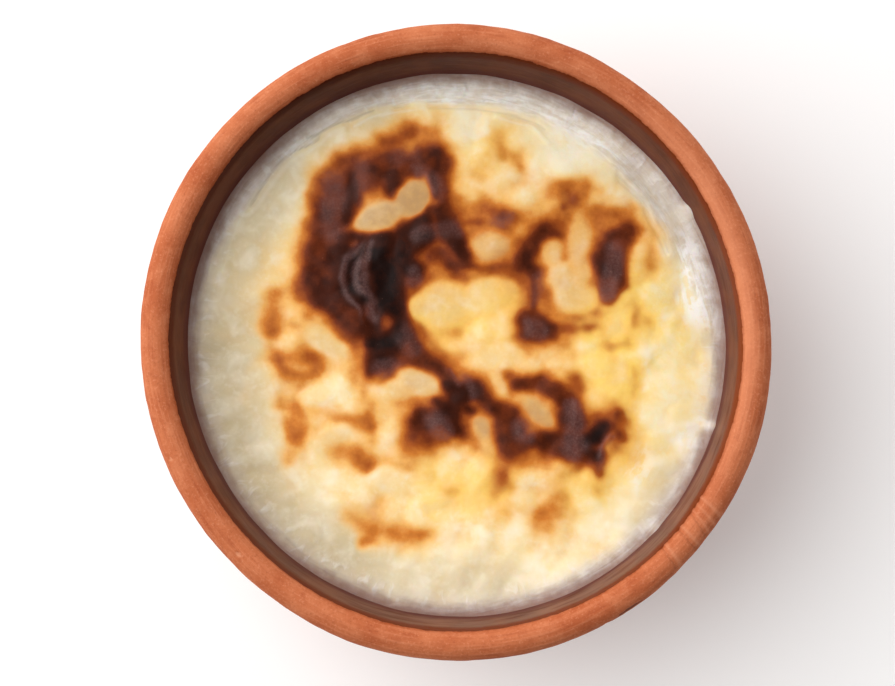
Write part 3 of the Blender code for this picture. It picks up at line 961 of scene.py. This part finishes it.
def skinFields():
    # the relief and all that the finish reads, worked out over a square of places
    count = int(2 * skin["half"] / skin["step"]) + 1
    line = np.linspace(-skin["half"], skin["half"], count)
    x, y = np.meshgrid(line, line)
    film = filmMap(x, y)
    x, y = x - skin["shift"][0], y - skin["shift"][1]
    dome, fold = grainMap(x, y), foldMap(x, y)
    heat, tan = heatMap(x, y, dome)
    fields = {"scorch": heat, "tan": tan, "film": film, "fold": fold}
    wx, wy = (x, y) + drift(x, y, 2.6, 0.9, skin["seed"] + 60)
    fields["bloomAndSheen"] = strokeMap(wx, wy, bloomAndSheen)
    fields["white"] = strokeMap(wx, wy, white)
    fields["yellow"] = strokeMap(x, y, yellow)
    fields["dullAndShade"] = strokeMap(x, y, dullAndShade)
    return reliefMap(x, y, dome, heat, film, fold), fields


def sample(field, x, y):
    # a field's value at each place
    return between(field, (x + skin["half"]) / skin["step"], (y + skin["half"]) / skin["step"])


def roundGrid(points, radius):
    # a square of cells from -1 to 1 made round, each cell keeping its share of the area
    a, b = points[:, 0], points[:, 1]
    wide = np.abs(a) > np.abs(b)
    big = np.where(wide, a, b)
    safe = np.where(np.abs(big) < 1e-9, 1e-9, big)
    turn = np.where(wide, math.pi / 4 * b / safe, math.pi / 2 - math.pi / 4 * a / safe)
    return radius * big * np.cos(turn), radius * big * np.sin(turn)


def smearMap(turn):
    tall = np.zeros_like(turn)
    for at, half, up in skin["smears"]:
        tall = tall + up * np.exp(-((roundGap(np.degrees(turn), at) / half) ** 2))
    return tall


def skinHeight(x, y, relief):
    # the skin's height at each place, with the climb at the wall
    radius, turn = polar(x, y)
    fromWall = skin["edgeRadius"] - radius
    calm = smooth(fromWall / skin["calmWidth"])
    uneven = softNoise(60 * np.cos(turn), 60 * np.sin(turn), 6.0, skin["seed"] + 90)
    climb = skin["climb"] * (1 + 0.3 * uneven) + smearMap(turn)
    rise = climb * np.exp(-np.clip(fromWall, 0, None) / skin["climbWidth"])
    return skinEdge - skin["climb"] + sample(relief, x, y) * (0.25 + 0.75 * calm) + rise


def closeBody(obj):
    # the skin's edge is drawn down the wall and in along the floor
    inEditMode(obj)
    bpy.ops.mesh.select_mode(type="EDGE")
    bpy.ops.mesh.select_all(action="DESELECT")
    bpy.ops.mesh.select_non_manifold()
    reach = skin["reach"]
    rings = [(wallRadius(z) + reach, z) for z in skin["bodyRings"]]
    rings += arc(cornerMiddle(), dish["cornerRadius"] + reach, -dish["lean"], -90, 5)
    last = wallRadius(skinEdge) + reach
    for radius, z in rings:
        bpy.ops.mesh.extrude_edges_move()
        share = radius / last
        bpy.ops.transform.resize(value=(share, share, 0), center_override=(0, 0, z * mm))
        last = radius
    bpy.ops.mesh.extrude_edges_move()
    bpy.ops.mesh.merge(type="CENTER")
    finishMesh(obj, "baked_pudding")


def skinFinish():
    fixed = {
        "Subsurface Weight": 0.45,
        "Subsurface Radius": (1.0, 0.62, 0.30),
        "Subsurface Scale": 1.6 * mm,
        "Specular IOR Level": 0.04,
        "Coat Roughness": 0.30,
    }
    f = Finish(bpy.data.materials.new("baked milk skin"), fixed)
    f.shader.subsurface_method = "RANDOM_WALK"
    heat, film, tan, thinAndShade = f.read("scorch"), f.read("film"), f.read("tan"), f.read("dullAndShade")
    veilAndSheen, fromWall, fold = f.read("bloomAndSheen"), f.read("fromWall"), f.read("fold")
    fine = f.noise(0.8, 3.0, 0.6)
    speck = f.noise(0.5, 3.0, 0.7)
    mottle = f.noise(2.4, 4.0, 0.6)
    cloud = f.noise(6.0, 4.0, 0.55, 0.6)
    wisp = f.noise(4.2, 2.0, 0.5, 0.3)
    curd = f.noise(1.5, 3.0, 0.6)
    burnt = f.step(heat, 0.35, 0.7)
    pale = f.step(heat, 0.45, 0.15)
    golden = f.read("yellow") * f.step(heat, 0.6, 0.4) * (0.45 + 0.55 * f.step(cloud, 0.30, 0.70))
    warm = heat + (fine - 0.5) * 0.06 + (mottle - 0.5) * 0.14 + (cloud - 0.5) * 0.10
    # the milk film, with clouds and wisps drawn out round the dish
    drawn = f.streaks(10.0, 1.8, 4.0, 1.0)
    fibres = f.streaks(4.0, 0.6, 2.0, 0.6)
    pucker = f.streaks(2.0, 3.5, 3.0, 0.8)
    near = f.step(fromWall, 5.5, 2.0)
    edge = fromWall + (mottle - 0.5) * 1.2 + (drawn - 0.5) * 1.6
    curdled = f.step(mottle * 0.5 + drawn * 0.5, 0.36, 0.66)
    milk = f.tint(f.blend(curdled, (0.58, 0.50, 0.445), (0.89, 0.86, 0.82)), [
        (f.step(fibres, 0.48, 0.68) * 0.50, (0.96, 0.95, 0.93)),
        (f.step(fibres, 0.44, 0.27) * 0.42, (0.47, 0.41, 0.38)),
        # grey thin film, darkened also with painted shade from the wall
        (thinAndShade * 0.60, (0.52, 0.44, 0.385)),
    ])
    bright = f.read("white") * f.step(curdled * 0.6 + curd * 0.4, 0.25, 0.6)
    colour = f.tint(f.add("ShaderNodeValToRGB", {"stops": skin["toast"]}, {0: warm}), [
        # yellow fat, grey thin places that also carry painted shade from the wall, and white curds in the
        # pale skin
        (golden * 0.85, (0.95, 0.67, 0.155)),
        (f.step(cloud, 0.52, 0.68) * pale * 0.30, (0.93, 0.72, 0.33)),
        (thinAndShade * pale * 0.92, (0.555, 0.452, 0.288)),
        (f.step(wisp, 0.40, 0.80) * pale * (0.56 - 0.26 * thinAndShade), (0.94, 0.88, 0.74)),
        (f.step(curd, 0.46, 0.76) * pale * 0.16, (0.95, 0.90, 0.78)),
        (f.step(wisp, 0.46, 0.28) * pale * 0.24, (0.76, 0.60, 0.38)),
        # tan lumps, and the purple veil with painted sheen on the burns, broken up by small specks
        (tan * f.step(heat, 0.55, 0.40) * (0.75 + 0.20 * f.step(mottle, 0.35, 0.65)), (0.50, 0.30, 0.135)),
        (veilAndSheen * (0.45 + 0.55 * f.step(speck, 0.30, 0.75)) * burnt, (0.185, 0.088, 0.080)),
        # small painted glints on the burnt skin
        (f.step(speck, 0.64, 0.80) * burnt * 0.20, (0.42, 0.20, 0.14)),
        (film * (0.54 + 0.38 * curdled), milk),
        (bright * pale * 0.78, (0.93, 0.90, 0.86)),
        # puckers near the wall, then grey, partly thinner film and partly painted shade by the wall, then
        # thin where it climbs the brown wall
        (f.step(pucker, 0.52, 0.68) * near * 0.45, (0.93, 0.90, 0.84)),
        (f.step(edge, 5.0, 1.0) * 0.40, (0.56, 0.47, 0.43)),
        (f.step(edge, 2.6, -0.5) * 0.90, (0.22, 0.110, 0.085)),
        # folds in the pale skin, with painted shade in the crease and a painted highlight along the ridge
        (f.step(fold, 0.15, 0.9) * pale * 0.55, (0.40, 0.32, 0.24)),
        (f.step(fold, -0.15, -0.9) * pale * 0.55, (0.93, 0.89, 0.82)),
    ])
    rough = 0.40 + (fine - 0.5) * 0.12 + 0.04 * burnt
    first = f.bump(f.noise(0.35, 2.0, 0.6), 0.018)
    second = f.bump(f.noise(1.3, 3.0, 0.5) * 0.55 + wisp * pale * 0.5, 0.12, first)
    normal = f.bump((drawn + fibres * 0.5) * film + pucker * near, 0.19, second)
    coat = 0.05 + 0.20 * veilAndSheen * burnt + 0.08 * film
    f.feed(Base_Color=colour, Roughness=rough, Coat_Weight=coat, Normal=normal)
    return f.owner


def makePudding():
    relief, fields = skinFields()
    print("skin worked out")
    cells, edge = skin["cells"], skin["edgeRadius"]
    bpy.ops.mesh.primitive_grid_add(x_subdivisions=cells, y_subdivisions=cells, size=2 * mm)
    obj = bpy.context.object
    x, y = roundGrid(places(obj), edge)
    z = skinHeight(x, y, relief)
    radius, turn = polar(x, y)
    edgeZ = skinHeight(edge * np.cos(turn), edge * np.sin(turn), relief)
    stretch = (wallRadius(edgeZ) + skin["reach"]) / edge - 1
    radius = radius * (1 + stretch * smooth((radius / edge - 0.9) / 0.1)) * ovalShare(turn)
    putPlaces(obj, upright(radius, turn, z))
    closeBody(obj)
    x, y, z = places(obj).T
    for name, field in fields.items():
        store(obj, name, sample(field, x, y))
    radius, turn = polar(x, y)
    store(obj, "spun", upright(1, turn, radius))
    fromWall = wallRadius(z) - radius / ovalShare(turn) - byTurn(turn, skin["bare"])
    store(obj, "fromWall", fromWall + 1.3 * np.clip(smearMap(turn), 0, 1.6))
    obj.data.materials.append(skinFinish())
    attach(obj, "root")
    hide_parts("pudding")
    print("pudding:", len(obj.data.polygons), "faces")


stage = {
    "lens": 95.7,
    "sensor": 36.0,
    "distance": 450.0,  # from the lip, mm
    "elevation": 85.6,
    "turn": 15.0,  # degrees that the camera is turned from the front
    "aim": (-1.43, -0.64),  # the place at the lip's height in the middle of the view, mm
    "key": 9.3,
    "keySize": 1.05,
    "keyDistance": 0.90,
    "keyElevation": 54.0,
    "keyTurn": 166.0,  # degrees from +X
    "sky": 0.84,
    "skyTop": 0.12,
    "skyTurn": (0.35, 0.95),  # from where to where the sky darkens, as the height of its direction
    "skyTilt": 1.0,  # how much brighter the sky is on the far side
    "floorSize": 6.0,
    "floorGlow": 0.19,
}


def pointing(turn, elevation):
    # the direction this many degrees round from +X and up from level
    a, e = math.radians(turn), math.radians(elevation)
    return Vector((math.cos(a) * math.cos(e), math.sin(a) * math.cos(e), math.sin(e)))


def makeCamera():
    aim = Vector((*stage["aim"], lipMiddle[1])) * mm
    back = pointing(stage["turn"] - 90, stage["elevation"])
    right = Vector((0, 1, 0)).cross(back).normalized()
    data = bpy.data.cameras.new("camera")
    data.lens = stage["lens"]
    data.sensor_width = stage["sensor"]
    camera = bpy.data.objects.new("camera", data)
    turned = Matrix((right, back.cross(right), back)).transposed().to_4x4()
    camera.matrix_world = Matrix.Translation(aim + back * stage["distance"] * mm) @ turned
    bpy.context.scene.collection.objects.link(camera)
    bpy.context.scene.camera = camera


def makeStage():
    bpy.ops.mesh.primitive_plane_add(size=stage["floorSize"], location=(0, 0, 0))
    floor = bpy.context.object
    floor.name = "floor"
    fixed = {
        "Roughness": 0.8,
        "Base Color": (0.82, 0.815, 0.81, 1),
        "Emission Color": (1.0, 0.97, 0.96, 1),
        "Emission Strength": stage["floorGlow"],
    }
    floor.data.materials.append(Finish(bpy.data.materials.new("pale floor"), fixed).owner)
    # bright round the horizon and dark overhead
    sky = Finish(bpy.data.worlds.new("soft sky"), {"Color": (1, 1, 1, 1)}, "Background")
    direction = sky.add("ShaderNodeTexCoord", output="Generated")
    up = sky.add("ShaderNodeSeparateXYZ", None, {0: direction}, output="Z")
    ahead = sky.add("ShaderNodeSeparateXYZ", None, {0: direction}, output="Y")
    level = sky.step(up, *stage["skyTurn"], stage["sky"], stage["skyTop"])
    sky.feed(Strength=level * (1 + ahead * stage["skyTilt"]))
    bpy.context.scene.world = sky.owner
    away = pointing(stage["keyTurn"], stage["keyElevation"])
    data = bpy.data.lights.new("key", "AREA")
    data.shape = "DISK"
    data.size = stage["keySize"]
    data.energy = stage["key"]
    key = bpy.data.objects.new("key", data)
    key.location = away * stage["keyDistance"]
    key.rotation_euler = away.to_track_quat("Z", "Y").to_euler()
    bpy.context.scene.collection.objects.link(key)
    bpy.context.scene.view_settings.view_transform = "Standard"


makeCamera()
makeStage()
print("camera and light set")
makeDish()
makePudding()
